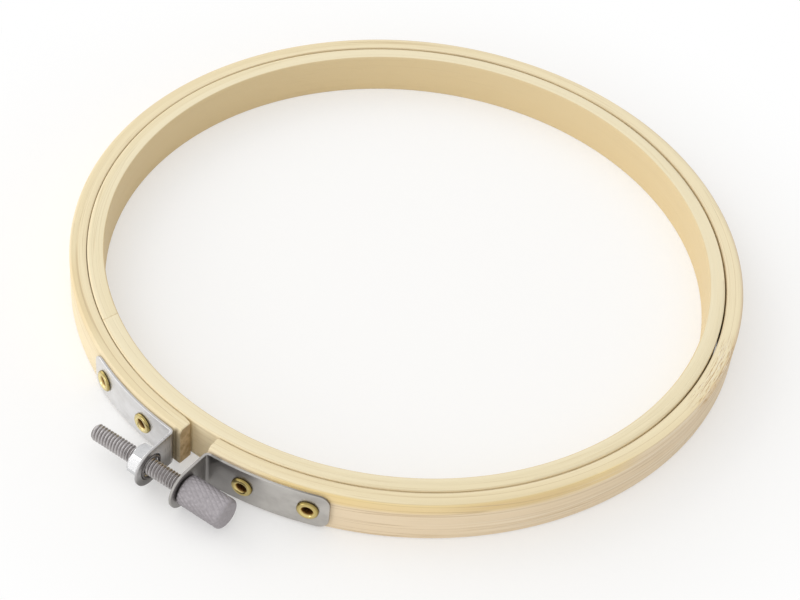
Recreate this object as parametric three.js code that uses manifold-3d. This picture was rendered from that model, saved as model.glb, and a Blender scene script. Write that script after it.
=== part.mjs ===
// A round embroidery hoop lying flat: a closed bamboo ring inside a split bamboo ring, which a thumb
// screw draws together through two bent steel brackets. Millimetres, +Z up, the split towards -Y.
import * as THREE from 'three';
import { mergeVertices } from 'three/addons/utils/BufferGeometryUtils.js';
import Module from 'manifold-3d';

const wasm = await Module();
wasm.setup();

// The two rings
const innerRingBore = 144.8; // inside diameter of the inner ring
const innerRingWall = 3.6;
const outerRingWall = 4.0;
const ringPlay = 0.5; // radial play between the rings as the clamp stands
const ringHeight = 10.8;
const splitWidth = 7.6; // between the outer ring's ends, across its outer face
const planedRound = 0.9; // hand-planed round on the outer ring's outside edges
const sandedRound = 0.4; // lighter round on every other edge of the rings

// The brackets, both bent from the same strap
const strapThickness = 0.65;
const strapWidth = 9.7;
const strapLength = 29.3; // from the lug's face along the wood to the strap's far end
const strapCorner = 2.6; // round of the far corners
const bendRadius = 0.7; // inside radius of the bend
const lugStandoff = 7.75; // from the outer ring's outer face to the screw's axis
const leftSetback = 1.25; // how far the left lug stands back from the end of the wood
const rightSetback = 0;
const nearRivetReach = 9.5; // from the lug's face along the wood to the first rivet
const farRivetMargin = 4.7; // from the strap's far end back to the second rivet

// The hollow rivets
const rivetBore = 2.1; // diameter of the hole through a rivet
const rivetBarrel = 2.9; // outside diameter of its barrel
const rivetFlange = 5.15; // outside diameter of the rolled flange on the strap
const rivetDome = 0.8; // how far the flange stands off the strap
const clinchFlange = 4.2; // outside diameter of the end that is spread inside the wood
const clinchThickness = 0.4;
const clinchRecess = 0.4; // from the outer ring's inner face down to the spread end

// The nut and the thumb screw
const threadDiameter = 4.0;
const nutSides = 6;
const nutAcrossFlats = 7.0;
const nutLength = 3.2;
const nutBossDiameter = 6.1; // the round boss that is clinched in the left lug
const nutBossProud = 0.25; // how far the boss passes the lug's face
const nutCountersink = 0.45;
const headDiameter = 7.2;
const headLength = 11.4;
const headChamfer = 0.55;
const shankLength = 25.5; // from the head's underside to the tip
const tipChamfer = 0.5;

// Clearances
const seatGap = 0.1; // between pieces that are clamped together
const barrelPlay = 0.15; // round a rivet's barrel or a boss in its hole
const screwHolePlay = 0.3; // round the shank in the right lug
const nutThreadPlay = 0.4; // round the shank in the nut, which lets the lugs tilt as the split opens
const cutMargin = 1; // how far a cutting shape runs past what it cuts

// Smoothness of round shapes
const ringSteps = 96;
const holeSteps = 24;
const roundSteps = 3;
const strapSteps = 7;

// Places that follow from the sizes
const innerRingInside = innerRingBore / 2;
const innerRingOutside = innerRingInside + innerRingWall;
const outerRingInside = innerRingOutside + ringPlay;
const outerRingOutside = outerRingInside + outerRingWall;
const halfSplitAngle = Math.asin(splitWidth / 2 / outerRingOutside);
const strapInside = outerRingOutside + seatGap;
const strapOutside = strapInside + strapThickness;
const midHeight = ringHeight / 2;
const lugRadius = strapWidth / 2;
const screwRadius = outerRingOutside + lugStandoff; // distance of the screw's axis from the hoop's centre
const leftLugFace = splitWidth / 2 + leftSetback; // faces of the lugs towards the split, from its middle
const rightLugFace = splitWidth / 2 + rightSetback;
const originShift = (screwRadius + lugRadius - outerRingOutside) / 2;

// Turns a geometry into a closed solid with welded corners and its faces pointing out
function toSolid(geometry) {
  geometry.deleteAttribute('normal');
  geometry.deleteAttribute('uv');
  const welded = mergeVertices(geometry);
  const points = welded.attributes.position.array;
  const corners = welded.index.array;
  const triangles = [];
  for (let i = 0; i < corners.length; i += 3) {
    const [a, b, c] = corners.slice(i, i + 3);
    if (a !== b && b !== c && c !== a) triangles.push([a, b, c]);
  }
  const at = (i) => new THREE.Vector3().fromArray(points, 3 * i);
  const volume = triangles.reduce((sum, [a, b, c]) => sum + at(a).dot(at(b).cross(at(c))), 0);
  const outward = volume > 0 ? triangles : triangles.map(([a, b, c]) => [a, c, b]);
  return new wasm.Manifold(new wasm.Mesh({
    numProp: 3,
    vertProperties: new Float32Array(points),
    triVerts: new Uint32Array(outward.flat()),
  }));
}

function toGeometry(solid) {
  const mesh = solid.getMesh();
  const geometry = new THREE.BufferGeometry();
  geometry.setAttribute('position', new THREE.BufferAttribute(mesh.vertProperties, 3));
  geometry.setIndex(new THREE.BufferAttribute(mesh.triVerts, 1));
  return geometry;
}

function cutAll(solid, cutters) {
  return cutters.reduce((rest, cutter) => rest.subtract(toSolid(cutter)), solid);
}

// Spins a closed profile of [radius, height] points round Z
function spin(profile, steps) {
  const points = profile.map(([radius, height]) => new THREE.Vector2(radius, height));
  return new THREE.LatheGeometry([...points, points[0]], steps).rotateX(Math.PI / 2);
}

function rod(radius, from, to) {
  return spin([[0, from], [radius, from], [radius, to], [0, to]], holeSteps);
}

// Swings a shape made round Z so that its axis lies along +X
const alongX = (geometry) => geometry.rotateY(Math.PI / 2);

// Places a shape made round Z on a spoke of the hoop at mid height, its axis pointing outwards
function onSpoke(geometry, angle) {
  return alongX(geometry).rotateZ(angle).translate(0, 0, midHeight);
}

// Places a shape made round Z on the screw's axis, its +Z end pointing to the head
const onScrew = (geometry) => alongX(geometry).translate(0, -screwRadius, midHeight);

// The angle of a spoke that meets the outer face at an arc length from the middle of the split
const spokeAt = (arc) => -Math.PI / 2 + arc / outerRingOutside;

// Points of a quarter round, from one angle to a quarter turn further
function quarterRound(x, y, radius, start) {
  return Array.from({ length: roundSteps + 1 }, (_, i) => {
    const angle = start + (Math.PI / 2) * (i / roundSteps);
    return [x + radius * Math.cos(angle), y + radius * Math.sin(angle)];
  });
}

// A ring of rectangular section whose outer and inner edges have their own rounds
function ring(inside, outside, outerRound, innerRound) {
  return spin([
    ...quarterRound(outside - outerRound, outerRound, outerRound, -Math.PI / 2),
    ...quarterRound(outside - outerRound, ringHeight - outerRound, outerRound, 0),
    ...quarterRound(inside + innerRound, ringHeight - innerRound, innerRound, Math.PI / 2),
    ...quarterRound(inside + innerRound, innerRound, innerRound, Math.PI),
  ], ringSteps);
}

function innerRing() {
  return toGeometry(toSolid(ring(innerRingInside, innerRingOutside, sandedRound, sandedRound)));
}

// Arc lengths of one side's rivets from the middle of the split
const rivetArcs = (lugFace) => [lugFace + nearRivetReach, lugFace + strapLength - farRivetMargin];

// The outer ring: split by a wedge, and drilled on each rivet's spoke with a pocket for its spread end
function outerRing() {
  const whole = toSolid(ring(outerRingInside, outerRingOutside, planedRound, sandedRound));
  const reach = outerRingOutside + cutMargin;
  const halfReach = reach * Math.tan(halfSplitAngle);
  const wedge = new THREE.Shape([
    new THREE.Vector2(0, 0),
    new THREE.Vector2(-halfReach, -reach),
    new THREE.Vector2(halfReach, -reach),
  ]);
  const split = new THREE.ExtrudeGeometry(wedge, { depth: ringHeight + 2 * cutMargin, bevelEnabled: false });
  const holeRadius = rivetBarrel / 2 + barrelPlay;
  const pocketRadius = clinchFlange / 2 + barrelPlay;
  const pocketFloor = outerRingInside + clinchRecess + clinchThickness + seatGap;
  const arcs = [...rivetArcs(rightLugFace), ...rivetArcs(leftLugFace).map((arc) => -arc)];
  const drillings = arcs.flatMap((arc) => [
    onSpoke(rod(holeRadius, outerRingInside - cutMargin, outerRingOutside + cutMargin), spokeAt(arc)),
    onSpoke(rod(pocketRadius, outerRingInside - cutMargin, pocketFloor), spokeAt(arc)),
  ]);
  return toGeometry(cutAll(whole, [split.translate(0, 0, -cutMargin), ...drillings]));
}

// What is cut off a strip that ends at u = 0 to round both corners of its end
function endTrim(corner) {
  const half = strapWidth / 2;
  const beyond = half + cutMargin;
  const shape = new THREE.Shape();
  shape.moveTo(-corner, half);
  shape.lineTo(-corner, beyond);
  shape.lineTo(cutMargin, beyond);
  shape.lineTo(cutMargin, -beyond);
  shape.lineTo(-corner, -beyond);
  shape.lineTo(-corner, -half);
  shape.absarc(-corner, corner - half, corner, -Math.PI / 2, 0, false);
  shape.absarc(-corner, half - corner, corner, 0, Math.PI / 2, false);
  return new THREE.ExtrudeGeometry(shape, {
    depth: strapThickness + 2 * cutMargin,
    bevelEnabled: false,
    curveSegments: strapSteps,
  });
}

// Lays a trim with its end at a point, pointing along a level direction, its depth to the right of that
function layTrim(trim, end, direction) {
  const up = new THREE.Vector3(0, 0, 1);
  const depthway = direction.clone().cross(up);
  const turn = new THREE.Matrix4().makeBasis(direction, up, depthway);
  return trim.applyMatrix4(turn).translate(end.x, end.y, midHeight);
}

// The bracket's plan: an arc along the wood, a bend outwards, and the lug straight across the screw
function bracketPlan(lugFace, farSpoke) {
  const bendX = lugFace + strapThickness + bendRadius;
  const bendDistance = strapOutside + bendRadius;
  const bendSpoke = -Math.acos(bendX / bendDistance);
  const bendY = bendDistance * Math.sin(bendSpoke);
  const lugTip = -(screwRadius + lugRadius);
  const plan = new THREE.Shape();
  plan.absarc(0, 0, strapInside, farSpoke, bendSpoke, true);
  plan.absarc(bendX, bendY, bendRadius + strapThickness, bendSpoke + Math.PI, Math.PI, false);
  plan.lineTo(lugFace, lugTip);
  plan.lineTo(lugFace + strapThickness, lugTip);
  plan.absarc(bendX, bendY, bendRadius, Math.PI, bendSpoke + Math.PI, true);
  plan.absarc(0, 0, strapOutside, bendSpoke, farSpoke, false);
  return plan;
}

// A bracket: side is 1 for the right one and -1 for its mirror image on the left
function bracket(side, lugFace, lugHoleRadius) {
  const farSpoke = spokeAt(lugFace + strapLength);
  const strap = new THREE.ExtrudeGeometry(bracketPlan(lugFace, farSpoke), {
    depth: strapWidth,
    bevelEnabled: false,
    curveSegments: strapSteps,
  }).translate(0, 0, midHeight - strapWidth / 2);
  const far = new THREE.Vector3(Math.cos(farSpoke), Math.sin(farSpoke), 0);
  const along = new THREE.Vector3(-far.y, far.x, 0);
  const lugEnd = new THREE.Vector3(lugFace + strapThickness + cutMargin, -screwRadius - lugRadius, 0);
  const holeReach = [strapInside - cutMargin, strapOutside + cutMargin];
  const cuts = [
    layTrim(endTrim(strapCorner), far.multiplyScalar(strapInside - cutMargin), along),
    layTrim(endTrim(lugRadius), lugEnd, new THREE.Vector3(0, -1, 0)),
    onScrew(rod(lugHoleRadius, lugFace - cutMargin, lugFace + strapThickness + cutMargin)),
    ...rivetArcs(lugFace).map((arc) => (
      onSpoke(rod(rivetBarrel / 2 + barrelPlay, ...holeReach), spokeAt(arc))
    )),
  ];
  const rightHanded = toGeometry(cutAll(toSolid(strap), cuts));
  return toGeometry(toSolid(rightHanded.scale(side, 1, 1)));
}

// A hollow rivet on its spoke: rolled flange on the strap, barrel, and the end spread in its pocket
function hollowRivet(angle) {
  const bore = rivetBore / 2;
  const barrel = rivetBarrel / 2;
  const flange = rivetFlange / 2;
  const clinch = clinchFlange / 2;
  const seat = strapOutside + seatGap;
  const innerEnd = outerRingInside + clinchRecess;
  const domeSteps = 2 * roundSteps;
  const domeMiddle = (bore + flange) / 2;
  const domeReach = (flange - bore) / 2;
  const dome = Array.from({ length: domeSteps + 1 }, (_, i) => {
    const angleOnDome = Math.PI * (i / domeSteps);
    return [domeMiddle + domeReach * Math.cos(angleOnDome), seat + rivetDome * Math.sin(angleOnDome)];
  });
  return onSpoke(spin([
    [barrel, seat],
    ...dome,
    [bore, innerEnd + clinchThickness],
    [(bore + barrel) / 2, innerEnd],
    [clinch, innerEnd],
    [clinch, innerEnd + clinchThickness / 2],
    [barrel, innerEnd + clinchThickness],
  ], holeSteps), angle);
}

// The nut: a hexagon with eased corners outside the left lug, and its boss in the lug's hole
function clampNut() {
  const inner = -leftLugFace - strapThickness - seatGap; // the face against the lug
  const outer = inner - nutLength;
  const bossEnd = -leftLugFace + nutBossProud;
  const halfFlats = nutAcrossFlats / 2;
  const cornerRadius = halfFlats / Math.cos(Math.PI / nutSides);
  const ease = cornerRadius - halfFlats;
  const hexagon = new THREE.Shape(Array.from({ length: nutSides }, (_, i) => {
    const angle = 2 * Math.PI * (i / nutSides);
    return new THREE.Vector2(cornerRadius * Math.cos(angle), cornerRadius * Math.sin(angle));
  }));
  const block = new THREE.ExtrudeGeometry(hexagon, { depth: nutLength, bevelEnabled: false })
    .rotateZ(Math.PI / 2)
    .translate(0, 0, outer);
  const easedRound = spin([
    [0, outer], [halfFlats, outer], [cornerRadius, outer + ease], [cornerRadius, inner], [0, inner],
  ], holeSteps * 2);
  const boss = rod(nutBossDiameter / 2, inner - cutMargin, bossEnd);
  const boreRadius = threadDiameter / 2 + nutThreadPlay;
  const bore = spin([
    [0, outer - cutMargin],
    [boreRadius + nutCountersink + cutMargin, outer - cutMargin],
    [boreRadius, outer + nutCountersink],
    [boreRadius, bossEnd - nutCountersink / 2],
    [boreRadius + nutCountersink / 2 + cutMargin, bossEnd + cutMargin],
    [0, bossEnd + cutMargin],
  ], holeSteps);
  const eased = toSolid(onScrew(block)).intersect(toSolid(onScrew(easedRound)));
  return toGeometry(cutAll(eased.add(toSolid(onScrew(boss))), [onScrew(bore)]));
}

// The thumb screw, turned from one bar: tip, shank and head with its two chamfered edges
function thumbScrew() {
  const under = rightLugFace + strapThickness + seatGap;
  const tip = under - shankLength;
  const end = under + headLength;
  const thread = threadDiameter / 2;
  const head = headDiameter / 2;
  return onScrew(spin([
    [0, tip],
    [thread - tipChamfer, tip],
    [thread, tip + tipChamfer],
    [thread, under],
    [head - headChamfer, under],
    [head, under + headChamfer],
    [head, end - headChamfer],
    [head - headChamfer, end],
    [0, end],
  ], holeSteps * 2));
}

const bamboo = { color: 0xe9d3a4, roughness: 0.62, metalness: 0 };
const paleBamboo = { color: 0xefddb2, roughness: 0.6, metalness: 0 };
const satinSteel = { color: 0xb4b4b2, roughness: 0.38, metalness: 1 };
const brass = { color: 0xc2a456, roughness: 0.3, metalness: 1 };
const brightNickel = { color: 0xd6d8d8, roughness: 0.18, metalness: 1 };
const greySteel = { color: 0xa09b99, roughness: 0.42, metalness: 1 };

const hoop = new THREE.Group();
hoop.position.y = originShift;

function place(name, geometry, finish) {
  geometry.computeVertexNormals();
  const mesh = new THREE.Mesh(geometry, new THREE.MeshStandardMaterial({ ...finish, flatShading: true }));
  mesh.name = name;
  hoop.add(mesh);
}

place('outer_ring', outerRing(), bamboo);
place('inner_ring', innerRing(), paleBamboo);
place('left_bracket', bracket(-1, leftLugFace, nutBossDiameter / 2 + barrelPlay), satinSteel);
place('right_bracket', bracket(1, rightLugFace, threadDiameter / 2 + screwHolePlay), satinSteel);
for (const [side, sign, lugFace] of [['left', -1, leftLugFace], ['right', 1, rightLugFace]]) {
  rivetArcs(lugFace).forEach((arc, i) => {
    place(`${side}_rivet_${['near', 'far'][i]}`, hollowRivet(spokeAt(sign * arc)), brass);
  });
}
place('clamp_nut', clampNut(), brightNickel);
place('thumb_screw', thumbScrew(), greySteel);

const part = new THREE.Group();
part.add(hoop);

export default part;
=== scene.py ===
import math

import bmesh
import bpy
import numpy as np
from mathutils import Matrix, Vector
from mathutils.geometry import delaunay_2d_cdt


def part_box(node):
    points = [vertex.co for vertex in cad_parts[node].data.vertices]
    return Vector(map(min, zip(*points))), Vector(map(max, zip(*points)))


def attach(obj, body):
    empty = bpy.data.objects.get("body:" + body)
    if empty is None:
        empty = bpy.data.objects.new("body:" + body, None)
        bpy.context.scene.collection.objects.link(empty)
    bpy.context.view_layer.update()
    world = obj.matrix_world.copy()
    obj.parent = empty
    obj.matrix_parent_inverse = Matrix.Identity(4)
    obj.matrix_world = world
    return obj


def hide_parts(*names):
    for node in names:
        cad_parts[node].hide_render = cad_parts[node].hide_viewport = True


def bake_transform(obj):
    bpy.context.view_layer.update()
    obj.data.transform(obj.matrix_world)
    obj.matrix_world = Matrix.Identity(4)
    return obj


# A round bamboo embroidery hoop on a pale table. Sizes are in millimetres, measured from the rings'
# centre on the table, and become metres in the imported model's frame when a mesh is made.
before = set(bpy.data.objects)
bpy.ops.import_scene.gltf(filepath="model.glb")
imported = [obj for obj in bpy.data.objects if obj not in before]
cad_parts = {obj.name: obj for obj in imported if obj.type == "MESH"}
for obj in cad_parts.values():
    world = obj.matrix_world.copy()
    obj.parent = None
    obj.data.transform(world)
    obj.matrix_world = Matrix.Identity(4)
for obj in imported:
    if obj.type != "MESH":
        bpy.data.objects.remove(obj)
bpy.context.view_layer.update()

# The outer ring: a bamboo strip, steamed, bent round and left open for the clamp. Its outside edges
# are planed by hand, so their rounds wander; its ends are cut square and drilled for the rivets,
# with a pocket on the inside for the spread end of each.
millimetre = 0.001
weld_distance = 0.001
inner_ring_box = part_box("inner_ring")
ring_centre = (inner_ring_box[0] + inner_ring_box[1]) / 2 * Vector((1, 1, 0))
ring_height = 10.8
mid_height = ring_height / 2
outer_ring_inside = 76.5
outer_ring_outside = 80.5
split_width = 7.6
half_split = math.asin(split_width / 2 / outer_ring_outside)
ring_steps = 480
crease_angle = 35  # in degrees: sharper edges are drawn sharp
edge_points = 7  # in the quarter round of an edge
edge_flatness = 0.6  # how far the plane has brought an outside round towards a flat
inside_round = 0.2
outside_rounds = {  # width and height of each: the plane's stroke, the least and the most, and a seed
    "top": ((26, 0.25, 0.5, 4), (34, 0.3, 0.55, 5)),
    "low": ((40, 0.3, 0.7, 6), (44, 0.3, 0.7, 7)),
}
planed_wide_turn = math.radians(-62)  # where the outside edge has been planed off widest
planed_widening = 2.1  # and how much wider it is there, as a share of its width
top_stroke = 23  # length of the plane's strokes along the top
face_stroke = 31  # and along the outer face
outer_ring_dip = 0.12  # the most that they have taken off
end_ease = 0.18  # how far the edges of a cut end are broken
left_end_taper = 0.6  # what the left end has lost inside, near its top
left_end_taper_length = 2.6

rivet_arcs = {"left": (-14.55, -29.65), "right": (13.3, 28.4)}  # near and far, from the split's middle
rivet_hole_radius = 1.6
rivet_pocket_radius = 2.25
rivet_pocket_floor = 77.4  # its distance from the rings' centre
drill_overrun = 1  # how far a drill's ends stand clear of the wood

streak_pale = (0.96, 0.86, 0.7, 1)
tear_shadow = (0.55, 0.35, 0.16, 1)
tear_hair = (0.99, 0.93, 0.8, 1)
# Painted shade on the wood beside the left bracket.
bracket_shade = (0.13, 0.088, 0.04, 1)


def lofted(loops, closed=False, caps=False):
    """Points and faces of the skin over equal loops of points, each of which is closed."""
    rows, columns = loops.shape[:2]
    faces = [
        (
            i * columns + j,
            i * columns + (j + 1) % columns,
            (i + 1) % rows * columns + (j + 1) % columns,
            (i + 1) % rows * columns + j,
        )
        for i in range(rows if closed else rows - 1)
        for j in range(columns)
    ]
    if caps:
        faces += [tuple(range(columns)), tuple(range((rows - 1) * columns, rows * columns))]
    return loops.reshape(-1, 3), faces


def welded(patches):
    """One mesh in millimetres out of patches of points and faces, joined where their points meet."""
    built = bmesh.new()
    for points, faces in patches:
        corners = [built.verts.new(point) for point in points]
        for face in faces:
            built.faces.new([corners[i] for i in face])
    bmesh.ops.remove_doubles(built, verts=built.verts, dist=weld_distance)
    bmesh.ops.recalc_face_normals(built, faces=built.faces)
    return built


def make_piece(name, built, crease=crease_angle):
    """An object in metres from a mesh in millimetres, smooth but for edges sharper than the crease."""
    if built.calc_volume(signed=True) < 0:
        bmesh.ops.reverse_faces(built, faces=built.faces)
    mesh = bpy.data.meshes.new(name)
    built.to_mesh(mesh)
    built.free()
    mesh.transform(Matrix.Translation(ring_centre) @ Matrix.Scale(millimetre, 4))
    mesh.shade_smooth()
    mesh.set_sharp_from_angle(angle=math.radians(crease))
    piece = bpy.data.objects.new(name, mesh)
    bpy.context.scene.collection.objects.link(piece)
    return piece


def wander(arc, stroke, low, high, seed):
    """A value that changes from stroke to stroke of the plane along an arc, between low and high."""
    chance = np.random.default_rng(seed)
    count = int((arc.max() - arc.min()) / stroke) + 2
    knots = np.linspace(arc.min(), arc.max(), count)
    knots[1:-1] += chance.uniform(-0.35, 0.35, count - 2) * stroke
    heights = chance.uniform(low, high, count)
    heights[-1] = heights[0]
    return np.interp(arc, knots, heights)


def corner(radius, height, across, up, start, planed=0.0):
    """Points of a quarter round about a centre, planed towards a flat, one row for each place along."""
    share = np.linspace(0, 1, edge_points)
    turn = share * math.pi / 2
    ahead = (1 - planed) * np.cos(turn) + planed * (1 - share)
    aside = (1 - planed) * np.sin(turn) + planed * share
    outwards = ahead * math.cos(start) - aside * math.sin(start)
    upwards = ahead * math.sin(start) + aside * math.cos(start)
    return np.stack(
        [radius[:, None] + across[:, None] * outwards, height[:, None] + up[:, None] * upwards], -1
    )


def side(start, end, count):
    """Points between the end of one quarter round and the start of the next."""
    share = np.linspace(0, 1, count + 2)[1:-1]
    return start[:, -1:] + (end[:, :1] - start[:, -1:]) * share[:, None]


def strip_sections(inside, outside, top_edge, low_edge, inner_edge):
    """Section points (radius, height) of a bent strip; each edge gives its round's width and height."""
    inner = inner_edge * np.ones(len(top_edge[0]))
    low_outer = corner(outside - low_edge[0], low_edge[1], *low_edge, -math.pi / 2, edge_flatness)
    top_outer = corner(outside - top_edge[0], ring_height - top_edge[1], *top_edge, 0, edge_flatness)
    top_inner = corner(inside + inner, ring_height - inner, inner, inner, math.pi / 2)
    low_inner = corner(inside + inner, inner, inner, inner, math.pi)
    return np.concatenate(
        [
            low_outer, side(low_outer, top_outer, 5),
            top_outer, side(top_outer, top_inner, 3),
            top_inner, side(top_inner, low_inner, 4),
            low_inner, side(low_inner, low_outer, 1),
        ],
        1,
    )


def uneven(sections, arc, inside, outside, dip, hollow, seed):
    """Lowers the top and draws in the outer face a little, as a plane and sandpaper leave them."""
    radius, height = sections[..., 0], sections[..., 1]
    dips = wander(arc, top_stroke, 0, dip, seed)[:, None]
    hollows = wander(arc, face_stroke, 0, hollow, seed + 1)[:, None]
    crown = np.sin(math.pi * height / ring_height)
    outwards = (radius - inside) / (outside - inside)
    drawn_in = hollows * outwards * (0.4 + 0.6 * crown)
    return np.stack([radius - drawn_in, height * (1 - dips / ring_height)], -1)


def around(radius, turn, height):
    """Points in space at a radius from the Z axis, turned round it, and at a height."""
    return np.stack(np.broadcast_arrays(radius * np.cos(turn), radius * np.sin(turn), height), -1)


def round_the_centre(sections, angles):
    """Section points (radius, height) turned to their angles round the ring."""
    return around(sections[..., 0], angles[:, None], sections[..., 1])


def rod(centre, direction, radius, start, end, steps=40):
    """Points and faces of a plain round rod, used as a drill."""
    direction = Vector(direction).normalized()
    spin = direction.to_track_quat("Z", "Y").to_matrix()
    turn = np.linspace(0, 2 * math.pi, steps, endpoint=False)
    circle = [spin @ Vector((radius * math.cos(t), radius * math.sin(t), 0)) for t in turn]
    loops = [[Vector(centre) + direction * reach + p for p in circle] for reach in (start, end)]
    return lofted(np.array(loops), caps=True)


def drilled(piece, drills):
    """Cuts the drills' shapes out of a piece and keeps the result as its mesh."""
    for index, drill in enumerate(drills):
        cutter = make_piece(f"drill_{index}", welded([drill]))
        cut = piece.modifiers.new(cutter.name, "BOOLEAN")
        cut.operation, cut.solver, cut.object = "DIFFERENCE", "EXACT", cutter
    bpy.context.view_layer.update()
    evaluated = piece.evaluated_get(bpy.context.evaluated_depsgraph_get())
    mesh = bpy.data.meshes.new_from_object(evaluated)
    cutters = [cut.object for cut in piece.modifiers]
    piece.modifiers.clear()
    for cutter in cutters:
        bpy.data.objects.remove(cutter)
    piece.data = mesh
    mesh.shade_smooth()
    mesh.set_sharp_from_angle(angle=math.radians(crease_angle))


def read_mesh(items, name, width=1, kind=float):
    """One property of all of a mesh's vertices, corners or faces, with a row for each."""
    values = np.empty(width * len(items), kind)
    items.foreach_get(name, values)
    return values.reshape(-1, width)


def lay_grain(piece, inside, outside, start, slant=0):
    """Stores on each face corner how far it lies along the strip, out from its inner face, and up."""
    mesh = piece.data
    corner_points = read_mesh(mesh.loops, "vertex_index", kind=int)[:, 0]
    face_sizes = read_mesh(mesh.polygons, "loop_total", kind=int)[:, 0]
    corners = (read_mesh(mesh.vertices, "co", 3)[corner_points] - np.array(ring_centre)) / millimetre
    middles = (read_mesh(mesh.polygons, "center", 3) - np.array(ring_centre)) / millimetre

    def turn_and_depth(place):
        depth = np.hypot(place[:, 0], place[:, 1]) - inside
        return np.arctan2(place[:, 1], place[:, 0]) - start - slant * depth / outside, depth

    whole = 2 * math.pi
    face_turn = np.repeat(turn_and_depth(middles)[0] % whole, face_sizes)
    corner_turn, depth = turn_and_depth(corners)
    corner_turn = face_turn + (corner_turn - face_turn + math.pi) % whole - math.pi
    grain = np.stack([corner_turn * outside, depth, corners[:, 2]], -1)
    mesh.attributes.new("grain", "FLOAT_VECTOR", "CORNER").data.foreach_set("vector", grain.ravel())


class Shade:
    """A socket in a material's nodes, so that sums on it can be written as plain Python."""

    def __init__(self, tree, socket=None):
        self.tree, self.socket = tree, socket

    def node(self, kind, settings={}, inputs={}, output=0):
        """Adds a node, sets it up, and fills its sockets with numbers, colours or links."""
        made = self.tree.nodes.new(kind)
        for name, setting in settings.items():
            setattr(made, name, setting)
        for name, value in inputs.items():
            if isinstance(value, Shade):
                self.tree.links.new(value.socket, made.inputs[name])
            else:
                made.inputs[name].default_value = value
        return Shade(self.tree, made.outputs[output]) if made.outputs else None

    def maths(self, operation, *values):
        return self.node("ShaderNodeMath", {"operation": operation}, dict(enumerate(values)))

    def __add__(self, other):
        return self.maths("ADD", self, other)

    __radd__ = __add__

    def __sub__(self, other):
        return self.maths("SUBTRACT", self, other)

    def __rsub__(self, other):
        return self.maths("SUBTRACT", other, self)

    def __mul__(self, other):
        return self.maths("MULTIPLY", self, other)

    __rmul__ = __mul__

    def rise(self, low, high):
        """0 below low, 1 above high, and a smooth step between; high may be the lower one."""
        swap = low > high
        step = self.node(
            "ShaderNodeMapRange",
            {"interpolation_type": "SMOOTHSTEP"},
            {"Value": self, "From Min": min(low, high), "From Max": max(low, high)},
        )
        return 1 - step if swap else step

    def near(self, level, width):
        """1 where this value is at a level, and 0 from a width away."""
        return self.maths("ABSOLUTE", self - level).rise(width, 0)

    def tint(self, base, over):
        """A colour that goes from base to over as this value goes from 0 to 1."""
        settings = {"data_type": "RGBA", "clamp_factor": True}
        return self.node("ShaderNodeMix", settings, {0: self, 6: base, 7: over}, 2)

    def stored(self, name, output="Vector"):
        """What the mesh stores under a name."""
        return self.node("ShaderNodeAttribute", {"attribute_name": name}, output=output)

    def part(self, axis):
        """This vector's X, Y or Z."""
        return self.node("ShaderNodeSeparateXYZ", {}, {"Vector": self}, axis)

    def bump(self, strength, distance):
        """A normal from this value taken as a height, with the distance in metres."""
        inputs = {"Strength": strength, "Distance": distance, "Height": self}
        return self.node("ShaderNodeBump", {}, inputs)

    def streaks(self, length, width, seed, detail=2.0, roughness=0.5):
        """Noise of this place vector in long streaks, in millimetres along and across the grain."""
        scaled = self.node(
            "ShaderNodeVectorMath",
            {"operation": "MULTIPLY_ADD"},
            {0: self, 1: (1 / length, 1 / width, 1 / width), 2: (seed, seed * 1.7, seed * 2.3)},
        )
        inputs = {"Vector": scaled, "Scale": 1.0, "Detail": detail, "Roughness": roughness}
        return self.node("ShaderNodeTexNoise", {}, inputs)


def new_material(name):
    """An empty material and the start of its nodes."""
    material = bpy.data.materials.new(name)
    material.use_nodes = True
    material.node_tree.nodes.clear()
    return material, Shade(material.node_tree)


def surface(shade, **inputs):
    """Ends a material in one Principled shader with these inputs."""
    sockets = {
        name.replace("_", " ").title().replace("Ior", "IOR"): value for name, value in inputs.items()
    }
    shader = shade.node("ShaderNodeBsdfPrincipled", {}, sockets)
    shade.node("ShaderNodeOutputMaterial", {}, {"Surface": shader})


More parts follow.
